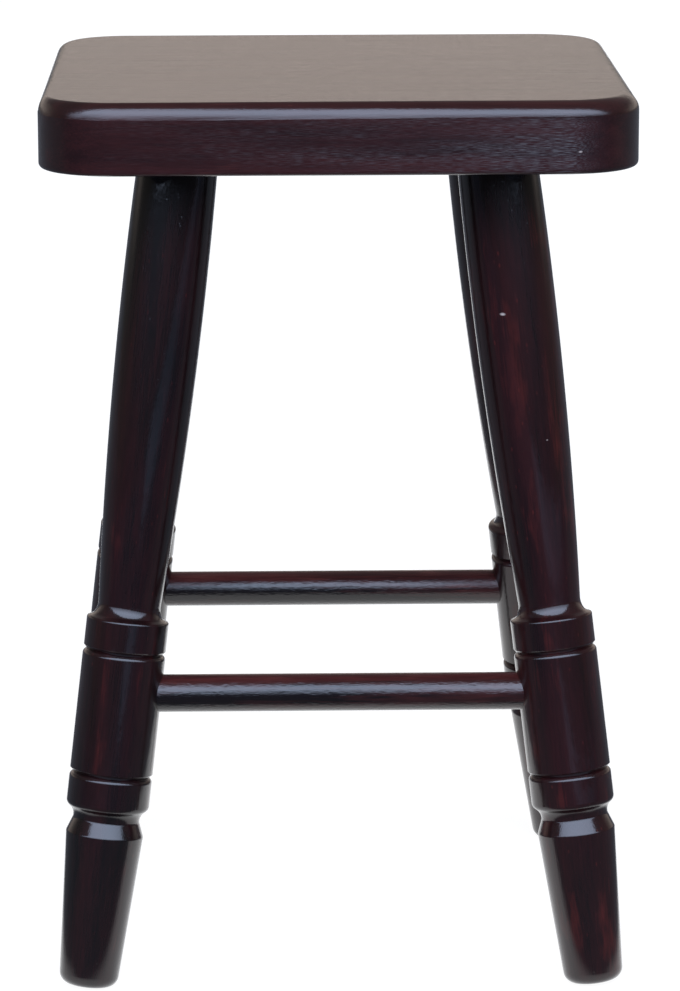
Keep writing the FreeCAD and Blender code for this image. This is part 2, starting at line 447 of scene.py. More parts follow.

# %% [markdown]
# ## The stretchers
# A stretcher is a plain round rod whose ends go into holes in the legs. A cone with two equal
# radii is the quickest rod, its ends get the small chamfer that lets them start in the hole, and
# its length and place are read from the solid's own box. Its top is painted red, as painted light
# from above, while its underside is painted nearly black, as painted shade.

# %% Build the stretchers
rod_sides = 64
rod_end_chamfer = mm(1.0)
# Painted light and shade: the top of each stretcher is painted red, the underside nearly black.
lit_top_redness = 0.7
lit_top_from, lit_top_to = mm(1), mm(8)


def make_stretcher(node, axis):
    low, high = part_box(node)
    length = (high - low).dot(axis)
    radius = (high.z - low.z) / 2
    bm = bmesh.new()
    bmesh.ops.create_cone(
        bm, cap_ends=True, segments=rod_sides, radius1=radius, radius2=radius, depth=length)
    rims = [edge for edge in bm.edges if abs(edge.verts[0].co.z - edge.verts[1].co.z) < radius]
    bmesh.ops.bevel(
        bm, geom=rims, offset=rod_end_chamfer, offset_type="OFFSET", segments=2, profile=0.5,
        affect="EDGES", material=-1)
    turn = Vector((0, 0, 1)).rotation_difference(axis).to_matrix().to_4x4()
    placement = Matrix.Translation((low + high) / 2) @ turn
    bm.transform(placement)
    return bm, placement


def rod_lit_top_redness(middle):
    """The redness of one rod, by how far a place lies over its middle, painted as light from above.
    """
    return lambda spot: lit_top_redness * fade(spot.z - middle, lit_top_from, lit_top_to)


for index, (name, axis) in enumerate((
        ("front", Vector((1, 0, 0))), ("back", Vector((1, 0, 0))),
        ("left", Vector((0, 1, 0))), ("right", Vector((0, 1, 0))))):
    bm, placement = make_stretcher("stretcher_" + name, axis)
    make_piece(
        bm, "stretcher_" + name, placement.inverted(),
        (mm(150) * index, -mm(200), mm(70) * index), rod_lit_top_redness(placement.translation.z))

# %% [markdown]
# ## The seat
# The seat is one slab in the eye, but a wide plank cups, so real seats are glued up from boards.
# The slab is shaped whole, as the maker would: a block, four big corner rounds, a generous round
# along the top and a small one below. Then it is cut at the glue lines. Each cut edge gets a hair
# of a round, because lacquer sinks a little along a joint and that is what makes it show.
# The front round was sanded by hand. At the left it is narrower from above and reaches deeper
# down the edge, and it evens out towards the right. The long edges are split into parts first, so
# that this change runs evenly along them instead of twisting one long face.

# %% The hand-sanded round
sanded_left, sanded_right = 0.66, 1.1
deepened_left = 1.25
long_edge_parts = 12
tolerance = mm(0.01)
straight_half = seat_high.x - seat_corner_radius


def sand_unevenly(bm):
    """Draw the top round steeper and deeper at the front left, as hand sanding left it."""
    for vertex in bm.verts:
        if vertex.co.z < seat_high.z - seat_top_round + tolerance:
            continue
        inner = Vector((
            max(-straight_half, min(straight_half, vertex.co.x)),
            max(-straight_half, min(straight_half, vertex.co.y))))
        outwards = vertex.co.xy - inner
        forwards = max(0, min(1, -vertex.co.y / straight_half))
        across = (vertex.co.x - seat_low.x) / (seat_high.x - seat_low.x)
        share = 1 + forwards * (sanded_left + (sanded_right - sanded_left) * across - 1)
        inset = seat_corner_radius - outwards.length
        if inset > seat_top_round + tolerance:
            continue
        vertex.co.xy = inner + outwards.normalized() * (seat_corner_radius - inset * share)
        deepening = 1 + forwards * (deepened_left - 1) * (1 - across)
        vertex.co.z = seat_high.z - (seat_high.z - vertex.co.z) * deepening


# %% Build the seat
corner_segments, top_segments, bottom_segments = 20, 10, 5


def make_slab():
    bm = bmesh.new()
    bmesh.ops.create_cube(bm, size=1)
    size, centre = seat_high - seat_low, (seat_high + seat_low) / 2
    bm.transform(Matrix.Translation(centre) @ Matrix.Diagonal((*size, 1)))

    def bevel(edges, offset, segments):
        bmesh.ops.bevel(
            bm, geom=edges, offset=offset, offset_type="OFFSET", segments=segments,
            profile=0.5, affect="EDGES", material=-1, clamp_overlap=True)

    upright = [e for e in bm.edges if abs(e.verts[0].co.z - e.verts[1].co.z) > mm(1)]
    bevel(upright, seat_corner_radius, corner_segments)
    for level, offset, segments in (
            (seat_high.z, seat_top_round, top_segments),
            (seat_low.z, seat_bottom_round, bottom_segments)):
        rim = [e for e in bm.edges if all(abs(v.co.z - level) < tolerance for v in e.verts)]
        bevel(rim, offset, segments)
    for step in range(1, long_edge_parts):
        bmesh.ops.bisect_plane(
            bm, geom=bm.verts[:] + bm.edges[:] + bm.faces[:], dist=merge_distance,
            plane_co=(straight_half * (2 * step / long_edge_parts - 1), 0, 0),
            plane_no=(1, 0, 0))
    sand_unevenly(bm)
    return bm


def cut_board(front, back):
    """The slab between two planes, closed at both, with its joint edges eased by a hair."""
    bm = make_slab()
    joints = []
    for y, outward in ((front, -1), (back, 1)):
        if y is None:
            continue
        cut = bmesh.ops.bisect_plane(
            bm, geom=bm.verts[:] + bm.edges[:] + bm.faces[:], dist=merge_distance,
            plane_co=(0, y, 0), plane_no=(0, outward, 0), clear_outer=True)
        rim = [e for e in cut["geom_cut"] if isinstance(e, bmesh.types.BMEdge)]
        bmesh.ops.contextual_create(bm, geom=rim)
        joints += rim
    bmesh.ops.bevel(
        bm, geom=joints, offset=glue_line_round, offset_type="OFFSET", segments=1,
        profile=0.5, affect="EDGES", material=-1, clamp_overlap=True)
    return bm


# %% [markdown]
# ## How the seat took its stain
# End grain drinks more stain than the faces, so the ends of the boards are darker. Where the
# lacquer has sunk into open pores it dried grey. That shows on the top and on the upright faces,
# and not on the rounds, which were sanded smooth. On the upright faces the grey also grows towards
# the right, and that rise is a painted sheen.

# %% Stain, bloom and painted sheen of the seat
face_redness, end_grain_darker = 0.5, 0.6
top_bloom, left_bloom = 0.8, 0.3
# The painted sheen on the seat's upright faces starts here and is full there.
sheen_rises_from, sheen_full_at = mm(-160), mm(120)
top_face_depth = mm(0.1)
round_fade, corner_fade = mm(1.5), mm(8)


def seat_redness(spot):
    return face_redness - end_grain_darker * fade(abs(spot.x), straight_half, seat_high.x)


def seat_bloom_and_sheen(spot):
    if spot.z > seat_high.z - top_face_depth:
        return top_bloom
    round_start = seat_high.z - seat_top_round
    upright = fade(spot.z, round_start + round_fade, round_start)
    on_face = fade(abs(spot.x), seat_high.x - corner_fade, straight_half)
    # The rise towards the right is a painted sheen over the grey pores.
    sheen_to_right = fade(spot.x, sheen_rises_from, sheen_full_at)
    return upright * on_face * (left_bloom + (1 - left_bloom) * sheen_to_right)


for index, (node, front, back) in enumerate((
        ("seat_board_front", None, joint_front),
        ("seat_board_middle", joint_front, joint_back),
        ("seat_board_back", joint_back, None))):
    make_piece(
        cut_board(front, back), node, grain_along((1, 0, 0)),
        (mm(400) * index, mm(900), mm(500) * index), seat_redness, seat_bloom_and_sheen)

# %% [markdown]
# ## Colours and nodes
# Colours are written as the hex values that a colour picker shows, and turned linear by one
# function, because a shader works in linear light. One helper adds a node, sets it and links it.

# %% Colour and node helpers
def linear(hex_colour):
    values = [int(hex_colour[i:i + 2], 16) / 255 for i in (1, 3, 5)]
    return tuple(
        v / 12.92 if v <= 0.04045 else ((v + 0.055) / 1.055) ** 2.4 for v in values) + (1,)


def add_node(tree, kind, inputs=None, **settings):
    """Add a node; an input that is given a socket is linked, any other is set."""
    node = tree.nodes.new(kind)
    for name, value in settings.items():
        setattr(node, name, value)
    for socket, value in (inputs or {}).items():
        if isinstance(value, bpy.types.NodeSocket):
            tree.links.new(value, node.inputs[socket])
        else:
            node.inputs[socket].default_value = value
    return node


# %% [markdown]
# ## Beech, stained dark mahogany and lacquered
# Beech is pale and even, with short dark pores and small shiny ray flecks. A spirit stain in a
# dark mahogany takes it almost to black, redder where the wood drank less. Over that lies a gloss
# lacquer, brushed on a little unevenly. It gives the eye two layers: a dull, deep red-brown
# underneath and a clear, slightly wavy mirror on top, which is the shader's coat. The finish is
# built up in the maker's order: stain, bloom, chips, lacquer, with painted light and shade carried
# in the stain's redness and a painted sheen in the seat's bloom. Each step takes the colour so far
# and gives back the next one, so each can be read, changed or left out by itself.
#
# Patterns are noise in the billet's own coordinates, squeezed so that one step is a real size:
# some millimetres across the grain and many more along it.

# %% The size of a pattern in the wood
def grain_scale(across, along):
    """The Scale of a Mapping node for patterns of a real size across and along the grain."""
    return (1 / across, 1 / across, 1 / along)


# %% The stain
def stained(tree, billet, dark, red, patch):
    """Streaks and fibres decide how red the stain stays; it is wiped thin in a few places."""
    # This attribute also carries painted light and shade: red stretcher tops, dark leg tops under
    # the seat.
    local_redness = add_node(tree, "ShaderNodeAttribute", attribute_name="redness").outputs["Fac"]
    streaks = add_node(tree, "ShaderNodeTexNoise", {
        "Vector": add_node(tree, "ShaderNodeMapping", {
            "Vector": billet, "Scale": grain_scale(mm(11), mm(120))}).outputs["Vector"],
        "Scale": 1.0, "Detail": 3.0, "Roughness": 0.5}).outputs["Fac"]
    fibres = add_node(tree, "ShaderNodeTexNoise", {
        "Vector": add_node(tree, "ShaderNodeMapping", {
            "Vector": billet, "Scale": grain_scale(mm(0.9), mm(16))}).outputs["Vector"],
        "Scale": 1.0, "Detail": 2.0, "Roughness": 0.6}).outputs["Fac"]
    figure = add_node(tree, "ShaderNodeMath", {
        0: fibres, 1: 0.45, 2: streaks}, operation="MULTIPLY_ADD").outputs[0]
    taken = add_node(tree, "ShaderNodeMath", {
        0: local_redness, 1: 0.5, 2: figure}, operation="MULTIPLY_ADD").outputs[0]
    redness = add_node(tree, "ShaderNodeMapRange", {
        "Value": taken, "From Min": 0.72, "From Max": 1.2}).outputs["Result"]
    stain = add_node(tree, "ShaderNodeMix", {
        "Factor": redness, 6: linear(dark), 7: linear(red)}, data_type="RGBA").outputs[2]

    # Where the stain was wiped thin, an orange-brown patch as long as a finger shows.
    thin = add_node(tree, "ShaderNodeTexNoise", {
        "Vector": add_node(tree, "ShaderNodeMapping", {
            "Vector": billet, "Scale": grain_scale(mm(14), mm(45))}).outputs["Vector"],
        "Scale": 1.0, "Detail": 3.0, "Roughness": 0.6}).outputs["Fac"]
    thin_place = add_node(tree, "ShaderNodeMath", {
        0: redness, 1: 0.35, 2: thin}, operation="MULTIPLY_ADD").outputs[0]
    wiped = add_node(tree, "ShaderNodeMapRange", {
        "Value": thin_place, "From Min": 0.8, "From Max": 1.05}).outputs["Result"]
    patched = add_node(tree, "ShaderNodeMix", {
        "Factor": wiped, 6: stain, 7: linear(patch)}, data_type="RGBA").outputs[2]
    return patched, redness


# %% [markdown]
# Ray flecks are about 1 mm by 3 mm on real beech. Each sits in a cell of its own, and only one
# cell in about twenty has one, so that they stay scattered. They show where the stain is red.

# %% The ray flecks
def flecked(tree, billet, wood, redness, patch):
    cells = add_node(tree, "ShaderNodeTexVoronoi", {
        "Vector": add_node(tree, "ShaderNodeMapping", {
            "Vector": billet, "Scale": grain_scale(mm(2.2), mm(5))}).outputs["Vector"],
        "Scale": 1.0})
    fleck_shape = add_node(tree, "ShaderNodeMapRange", {
        "Value": cells.outputs["Distance"], "From Min": 0.3, "From Max": 0.12}).outputs["Result"]
    cell_number = add_node(tree, "ShaderNodeSeparateXYZ", {"Vector": cells.outputs["Color"]})
    picked = add_node(tree, "ShaderNodeMapRange", {
        "Value": cell_number.outputs["X"], "From Min": 0.93, "From Max": 0.98}).outputs["Result"]
    flecks = add_node(tree, "ShaderNodeMath", {
        0: fleck_shape, 1: picked}, operation="MULTIPLY").outputs[0]
    fleck_strength = add_node(tree, "ShaderNodeMath", {
        0: flecks, 1: redness}, operation="MULTIPLY").outputs[0]
    return add_node(tree, "ShaderNodeMix", {
        "Factor": fleck_strength, 6: wood, 7: linear(patch)}, data_type="RGBA").outputs[2]


# %% [markdown]
# Lacquer that has sunk into the pores dries grey. The pores of real beech are under 0.1 mm wide,
# too fine to show, so they are drawn three to eight times as wide. They stand closer together in
# long cloudy stretches. A vertex attribute says where they may show, and its power keeps thin
# bloom very faint. On the seat's upright faces the same grey also grows towards the right as a
# painted sheen.

# %% The grey pores, and the painted sheen on the seat
bloom_and_sheen_grey = "#5c5858"
bloom_power = 2.5


def grey_bloom_and_sheen(tree, billet, wood, ripples):
    sunk = add_node(tree, "ShaderNodeMapRange", {
        "Value": ripples, "From Min": 0.45, "From Max": 0.72}).outputs["Result"]
    clouds = add_node(tree, "ShaderNodeTexNoise", {
        "Vector": add_node(tree, "ShaderNodeMapping", {
            "Vector": billet, "Scale": grain_scale(mm(10), mm(100))}).outputs["Vector"],
        "Scale": 1.0, "Detail": 2.0, "Roughness": 0.6}).outputs["Fac"]
    clouded = add_node(tree, "ShaderNodeMapRange", {
        "Value": clouds, "From Min": 0.35, "From Max": 0.65,
        "To Min": 0.3, "To Max": 1.6}).outputs["Result"]
    bloom = add_node(tree, "ShaderNodeAttribute", attribute_name="bloom").outputs["Fac"]
    allowed = add_node(tree, "ShaderNodeMath", {
        0: bloom, 1: bloom_power}, operation="POWER").outputs[0]
    pores = add_node(tree, "ShaderNodeMath", {
        0: sunk, 1: clouded}, operation="MULTIPLY").outputs[0]
    grey_share = add_node(tree, "ShaderNodeMath", {
        0: allowed, 1: pores}, operation="MULTIPLY").outputs[0]
    return add_node(tree, "ShaderNodeMix", {
        "Factor": grey_share, 6: wood, 7: linear(bloom_and_sheen_grey)}, data_type="RGBA").outputs[2]


# %% [markdown]
# A chip has knocked off lacquer and stain together, and bare beech shows. Each chip has a centre
# and a width in millimetres, in the stool's own frame, and is half as tall as it is wide.

# %% The chips
bare_beech = "#bfaea3"
chip_edge, chip_core = 0.65, 0.25


def chipped(tree, wood, chips):
    place = add_node(tree, "ShaderNodeTexCoord").outputs["Object"]
    for centre, width in chips:
        offset = add_node(tree, "ShaderNodeVectorMath", {
            0: place, 1: [mm(c) for c in centre]}, operation="SUBTRACT").outputs["Vector"]
        flattened = add_node(tree, "ShaderNodeVectorMath", {
            0: offset, 1: (1, 1, 2)}, operation="MULTIPLY").outputs["Vector"]
        away = add_node(tree, "ShaderNodeVectorMath", {
            0: flattened}, operation="LENGTH").outputs["Value"]
        bare = add_node(tree, "ShaderNodeMapRange", {
            "Value": away, "From Min": mm(chip_edge * width), "From Max": mm(chip_core * width)})
        wood = add_node(tree, "ShaderNodeMix", {
            "Factor": bare.outputs["Result"], 6: wood, 7: linear(bare_beech)},
            data_type="RGBA").outputs[2]
    return wood


# %% [markdown]
# The lacquer's mirror is never flat. It rides over long brush waves, over the ripples of the pores,
# and over a few specks of dust that were caught in it. The three are stacked as bumps, each on the
# one before, and only the coat gets them. The wood below gets the pores alone.

# %% The lacquer's surface
dust_height, pore_depth = mm(0.06), mm(0.03)


def lacquer_bumps(tree, billet, wave, ripple_height, ripples):
    wave_width, wave_length, wave_height = (mm(size) for size in wave)
    waves = add_node(tree, "ShaderNodeTexNoise", {
        "Vector": add_node(tree, "ShaderNodeMapping", {
            "Vector": billet, "Scale": grain_scale(wave_width, wave_length)}).outputs["Vector"],
        "Scale": 1.0, "Detail": 3.0, "Roughness": 0.55}).outputs["Fac"]
    specks = add_node(tree, "ShaderNodeTexVoronoi", {
        "Vector": add_node(tree, "ShaderNodeMapping", {
            "Vector": billet, "Scale": grain_scale(mm(2.5), mm(3))}).outputs["Vector"],
        "Scale": 1.0})
    speck_shape = add_node(tree, "ShaderNodeMapRange", {
        "Value": specks.outputs["Distance"], "From Min": 0.2, "From Max": 0.0},
        interpolation_type="SMOOTHSTEP").outputs["Result"]
    speck_number = add_node(tree, "ShaderNodeSeparateXYZ", {"Vector": specks.outputs["Color"]})
    speck_picked = add_node(tree, "ShaderNodeMapRange", {
        "Value": speck_number.outputs["Y"], "From Min": 0.8, "From Max": 1.0}).outputs["Result"]
    dust = add_node(tree, "ShaderNodeMath", {
        0: speck_shape, 1: speck_picked}, operation="MULTIPLY").outputs[0]
    wavy = add_node(tree, "ShaderNodeBump", {
        "Strength": 1.0, "Distance": wave_height, "Height": waves}).outputs["Normal"]
    rippled = add_node(tree, "ShaderNodeBump", {
        "Strength": 1.0, "Distance": ripple_height, "Height": ripples,
        "Normal": wavy}).outputs["Normal"]
    return add_node(tree, "ShaderNodeBump", {
        "Strength": 1.0, "Distance": dust_height, "Height": dust,
        "Normal": rippled}).outputs["Normal"]


# %% The whole finish
def lacquered_beech(name, dark, red, patch, wave, ripple, gloss_blur, chips=()):
    """A finish in its colours; wave and ripple are width, length and height in millimetres."""
    ripple_width, ripple_length, ripple_height = (mm(size) for size in ripple)
    material = bpy.data.materials.new(name)
    material.use_nodes = True
    tree = material.node_tree
    tree.nodes.clear()
    billet = add_node(tree, "ShaderNodeAttribute", attribute_name="grain").outputs["Vector"]
    ripples = add_node(tree, "ShaderNodeTexNoise", {
        "Vector": add_node(tree, "ShaderNodeMapping", {
            "Vector": billet,
            "Scale": grain_scale(ripple_width, ripple_length)}).outputs["Vector"],
        "Scale": 1.0, "Detail": 2.0, "Roughness": 0.6}).outputs["Fac"]

    wood, redness = stained(tree, billet, dark, red, patch)
    wood = flecked(tree, billet, wood, redness, patch)
    wood = grey_bloom_and_sheen(tree, billet, wood, ripples)
    wood = chipped(tree, wood, chips)
    brushed = lacquer_bumps(tree, billet, wave, ripple_height, ripples)
    open_grain = add_node(tree, "ShaderNodeBump", {
        "Strength": 1.0, "Distance": pore_depth, "Height": ripples}).outputs["Normal"]
    surface = add_node(tree, "ShaderNodeBsdfPrincipled", {
        "Base Color": wood, "Roughness": 0.35, "IOR": 1.5, "Specular IOR Level": 0.12,
        "Normal": open_grain, "Coat Weight": 1.0, "Coat Roughness": gloss_blur,
        "Coat IOR": 1.52, "Coat Normal": brushed})
    add_node(tree, "ShaderNodeOutputMaterial", {"Surface": surface.outputs["BSDF"]})
    print(name, len(tree.nodes), "nodes")
    return material


# %% [markdown]
# The seat, the legs and the stretchers share the finish and differ in the hand that put it on. The
# seat was brushed in long even strokes. The legs are darker, and their waves are short, as on a
# turned surface. The stretchers were brushed roughly, so their highlight is broad and lumpy, and
# their red is brighter than the seat's, as painted light from above.

# %% Finish every piece
seat_wood = lacquered_beech(
    "beech_mahogany_stain_gloss_lacquer_seat", "#230d0d", "#3e1a19", "#4a231f",
    wave=(9, 110, 0.3), ripple=(0.3, 6, 0.04), gloss_blur=0.05,
    chips=(((116.0, -147.0, 425.8), 2.0),))
leg_wood = lacquered_beech(
    "beech_mahogany_stain_gloss_lacquer_legs", "#0b0607", "#2b0f10", "#4a1a17",
    wave=(4, 10, 0.05), ripple=(0.6, 7, 0.045), gloss_blur=0.06,
    chips=(((81.1, -107.1, 339.6), 2.8), ((103.0, -113.5, 277.2), 1.0)))
# The stretchers' brighter red is painted light from above.
rod_wood = lacquered_beech(
    "beech_mahogany_stain_brushed_lacquer_rods", "#0e0709", "#502320", "#5c302a",
    wave=(1.6, 3.2, 0.22), ripple=(0.8, 4, 0.12), gloss_blur=0.17)
for piece in [o for o in bpy.data.objects if o.name.endswith("_look")]:
    finish = {"seat": seat_wood, "leg": leg_wood, "stretcher": rod_wood}[piece.name.split("_")[0]]
    piece.data.materials.append(finish)
    print(piece.name, finish.name)

# %% [markdown]
# ## Camera
# The camera and the stool's sizes were fitted together to the outlines in a photograph, with the
# stool taken as square and 450 mm high. With the depth left free, the fit is about as good or
# better, so this is one camera that suits the picture and not the only one. It stands a little
# over two metres in front, at table height, and looks down on the seat.

# %% The camera
camera_place = Vector((mm(-40.2), mm(-2256.5), mm(725.1)))
camera_yaw = math.radians(1.079)
camera_pitch = math.radians(12.507)
camera_roll = math.radians(-0.131)
focal_length_pixels = 4415.3
photo_width_pixels, photo_height_pixels = 680, 991

forward = Vector((
    math.sin(camera_yaw) * math.cos(camera_pitch),
    math.cos(camera_yaw) * math.cos(camera_pitch),
    -math.sin(camera_pitch)))
level_right = Vector((math.cos(camera_yaw), -math.sin(camera_yaw), 0))
level_up = level_right.cross(forward)
right = level_right * math.cos(camera_roll) + level_up * math.sin(camera_roll)
up = level_up * math.cos(camera_roll) - level_right * math.sin(camera_roll)

lens = bpy.data.cameras.new("photo_camera")
lens.sensor_width = 36
lens.lens = focal_length_pixels * lens.sensor_width / photo_height_pixels
camera = bpy.data.objects.new("photo_camera", lens)
camera.matrix_world = Matrix.Translation(camera_place) @ Matrix((
    right, up, -forward)).transposed().to_4x4()
bpy.context.scene.collection.objects.link(camera)
bpy.context.scene.camera = camera
bpy.context.scene.view_settings.view_transform = "Standard"
print("lens mm", round(lens.lens, 2))

# %% [markdown]
# ## Studio floor
# Dark lacquer shows whatever stands round it, so a studio that is white all over would turn it
# grey. The floor is therefore a pale grey that is white only in a long pool, which starts just in
# front of the stool and widens behind it. The pool is painted on the floor by place, with soft
# borders, and looks the same from every side. It adds white only for rays from the camera or off a
# glossy or clear surface, so it shows in the lacquer but throws no light on it, and the matt floor
# under it keeps the stool's shadow. Off to the front right lies a cooler, paler patch, which the
# front edge of the seat shows as a blue-grey sheen.

# %% Build the floor
def make_floor():
    half_side, drop = 8.0, mm(0.2)
    bm = bmesh.new()
    bmesh.ops.create_grid(bm, x_segments=1, y_segments=1, size=half_side)
    bmesh.ops.translate(bm, verts=bm.verts, vec=(0, 0, -drop))
    mesh = bpy.data.meshes.new("studio_floor")
    bm.to_mesh(mesh)
    bm.free()
    floor = bpy.data.objects.new("studio_floor", mesh)
    bpy.context.scene.collection.objects.link(floor)
    return floor


floor = make_floor()
print("floor faces", len(floor.data.polygons))

# %% Sizes and colours on the floor, in metres
pool_soft_border, pool_margin = 0.07, 0.005
pool_starts, pool_full = -0.19, -0.145
pool_tilt = 0.11
pool_strength = 0.94
far_grey, near_grey = "#55545a", "#74726f"
grey_changes_from, grey_changes_to = -0.9, -0.3
patch_colour = "#a2a5b0"
patch_left, patch_left_full = 0.08, 0.34
patch_right, patch_right_full, patch_right_least = 2.6, 0.3, 0.5
patch_back, patch_front_full = -1.6, -2.6

# %% Paint the floor: the pool
floor_paint = bpy.data.materials.new("painted_floor")
floor_paint.use_nodes = True
tree = floor_paint.node_tree
tree.nodes.clear()
apart = add_node(tree, "ShaderNodeSeparateXYZ", {
    "Vector": add_node(tree, "ShaderNodeTexCoord").outputs["Object"]})
x, y = apart.outputs["X"], apart.outputs["Y"]

distance = add_node(tree, "ShaderNodeMath", {
    0: y, 1: camera_place.y}, operation="SUBTRACT").outputs[0]
middle = add_node(tree, "ShaderNodeMath", {
    0: distance, 1: math.tan(camera_yaw), 2: camera_place.x},
    operation="MULTIPLY_ADD").outputs[0]
aside = add_node(tree, "ShaderNodeMath", {
    0: add_node(tree, "ShaderNodeMath", {0: x, 1: middle}, operation="SUBTRACT").outputs[0]},
    operation="ABSOLUTE").outputs[0]
widening = photo_width_pixels / 2 / focal_length_pixels / math.cos(camera_pitch + pool_tilt)
outside = add_node(tree, "ShaderNodeMath", {
    0: distance, 1: -widening, 2: aside}, operation="MULTIPLY_ADD").outputs[0]
pool_side = add_node(tree, "ShaderNodeMapRange", {
    "Value": outside, "From Min": pool_soft_border, "From Max": pool_margin},
    interpolation_type="SMOOTHSTEP").outputs["Result"]
pool_front = add_node(tree, "ShaderNodeMapRange", {
    "Value": y, "From Min": pool_starts, "From Max": pool_full},
    interpolation_type="SMOOTHSTEP").outputs["Result"]
pool = add_node(tree, "ShaderNodeMath", {
    0: pool_side, 1: pool_front}, operation="MULTIPLY").outputs[0]

# %% Paint the floor: the greys and the cool patch
nearness = add_node(tree, "ShaderNodeMapRange", {
    "Value": y, "From Min": grey_changes_from, "From Max": grey_changes_to},
    interpolation_type="SMOOTHSTEP").outputs["Result"]
patch_side = add_node(tree, "ShaderNodeMapRange", {
    "Value": x, "From Min": patch_left, "From Max": patch_left_full},
    interpolation_type="SMOOTHSTEP").outputs["Result"]
patch_far_side = add_node(tree, "ShaderNodeMapRange", {
    "Value": x, "From Min": patch_right, "From Max": patch_right_full,
    "To Min": patch_right_least},
    interpolation_type="SMOOTHSTEP").outputs["Result"]
patch_front = add_node(tree, "ShaderNodeMapRange", {
    "Value": y, "From Min": patch_back, "From Max": patch_front_full},
    interpolation_type="SMOOTHSTEP").outputs["Result"]
patch = add_node(tree, "ShaderNodeMath", {
    0: add_node(tree, "ShaderNodeMath", {
        0: patch_side, 1: patch_far_side}, operation="MULTIPLY").outputs[0],
    1: patch_front}, operation="MULTIPLY").outputs[0]
grey = add_node(tree, "ShaderNodeMix", {
    "Factor": nearness, 6: linear(far_grey), 7: linear(near_grey)},
    data_type="RGBA").outputs[2]
cooler = add_node(tree, "ShaderNodeMix", {
    "Factor": patch, 6: grey, 7: linear(patch_colour)}, data_type="RGBA").outputs[2]

# %% Paint the floor: put them together
matt = add_node(tree, "ShaderNodeBsdfDiffuse", {"Color": cooler}).outputs["BSDF"]
path = add_node(tree, "ShaderNodeLightPath")
mirrored = add_node(tree, "ShaderNodeMath", {
    0: path.outputs["Is Glossy Ray"], 1: path.outputs["Is Transmission Ray"]},
    operation="MAXIMUM").outputs[0]
seen = add_node(tree, "ShaderNodeMath", {
    0: path.outputs["Is Camera Ray"], 1: mirrored}, operation="MAXIMUM").outputs[0]
pool_seen = add_node(tree, "ShaderNodeMath", {
    0: seen, 1: pool}, operation="MULTIPLY").outputs[0]
white_strength = add_node(tree, "ShaderNodeMath", {
    0: pool_seen, 1: pool_strength}, operation="MULTIPLY").outputs[0]
white = add_node(tree, "ShaderNodeEmission", {
    "Color": linear("#ffffff"), "Strength": white_strength}).outputs["Emission"]
surface = add_node(tree, "ShaderNodeAddShader", {0: matt, 1: white}).outputs[0]
add_node(tree, "ShaderNodeOutputMaterial", {"Surface": surface})
floor.data.materials.append(floor_paint)
print("floor paint nodes", len(tree.nodes))

# %% [markdown]
# ## Light
# The stool is lit by one very large soft window that stands in front, a little to the left, arched
# at the top, in a grey room. Like a real sky it is brightest high up and dimmer near its sill. It
# gives the long cool highlights on every edge that faces up and forward, and the dim room below
# it keeps the upright faces dark. A paler wall runs round the back, and the polished seat shows
# it. All are painted on the world by direction. The level is plain. For the window x is sideways,
# turned with it, and the climb is the angle from the horizon in front up over the stool. For the
# room y is to the back and z is up.

# %% The studio world
studio = bpy.data.worlds.new("grey_studio")
bpy.context.scene.world = studio
studio.use_nodes = True
tree = studio.node_tree
tree.nodes.clear()
direction = add_node(tree, "ShaderNodeTexCoord").outputs["Generated"]
apart = add_node(tree, "ShaderNodeSeparateXYZ", {"Vector": direction})
y, z = apart.outputs["Y"], apart.outputs["Z"]
window_turn = math.radians(6)
turned = add_node(tree, "ShaderNodeSeparateXYZ", {"Vector": add_node(tree, "ShaderNodeMapping", {
    "Vector": direction, "Rotation": (0, 0, window_turn)}).outputs["Vector"]})
x = turned.outputs["X"]
ahead = add_node(tree, "ShaderNodeMath", {
    0: turned.outputs["Y"], 1: -1.0}, operation="MULTIPLY").outputs[0]
climb = add_node(tree, "ShaderNodeMath", {0: z, 1: ahead}, operation="ARCTAN2").outputs[0]

# %% The window: an arch on a level sill
window_middle, window_half_width, window_top = -0.03, 1.08, math.radians(60)
window_lean = 0.25
arch_squareness, arch_roundness, arch_solid = 4.0, 2.0, 0.84
sill_dark, sill_light = 0.165, 0.205
paling_from, paling_left = 0.2, 0.72
sky_low, sky_high = 0.15, 0.6
sky_low_strength, sky_high_strength = 2.2, 6.6
window_colour = "#cfe0ff"
sideways = add_node(tree, "ShaderNodeMath", {
    0: add_node(tree, "ShaderNodeMath", {0: x, 1: window_middle}, operation="SUBTRACT").outputs[0],
    1: window_half_width}, operation="DIVIDE").outputs[0]
upwards = add_node(tree, "ShaderNodeMath", {
    0: climb, 1: window_top}, operation="DIVIDE").outputs[0]
leaning = add_node(tree, "ShaderNodeMath", {
    0: x, 1: -window_lean, 2: upwards}, operation="MULTIPLY_ADD").outputs[0]
arch_edge = add_node(tree, "ShaderNodeMath", {
    0: add_node(tree, "ShaderNodeMath", {
        0: sideways, 1: arch_squareness}, operation="POWER").outputs[0],
    1: add_node(tree, "ShaderNodeMath", {
        0: leaning, 1: arch_roundness}, operation="POWER").outputs[0]},
    operation="ADD").outputs[0]
in_arch = add_node(tree, "ShaderNodeMapRange", {
    "Value": arch_edge, "From Min": 1.0, "From Max": arch_solid},
    interpolation_type="SMOOTHSTEP").outputs["Result"]
over_sill = add_node(tree, "ShaderNodeMapRange", {
    "Value": z, "From Min": sill_dark, "From Max": sill_light},
    interpolation_type="SMOOTHSTEP").outputs["Result"]
paling = add_node(tree, "ShaderNodeMapRange", {
    "Value": upwards, "From Min": paling_from, "From Max": 1.0,
    "To Min": 1.0, "To Max": paling_left}).outputs[0]
window = add_node(tree, "ShaderNodeMath", {
    0: add_node(tree, "ShaderNodeMath", {
        0: in_arch, 1: over_sill}, operation="MULTIPLY").outputs[0],
    1: paling}, operation="MULTIPLY").outputs[0]
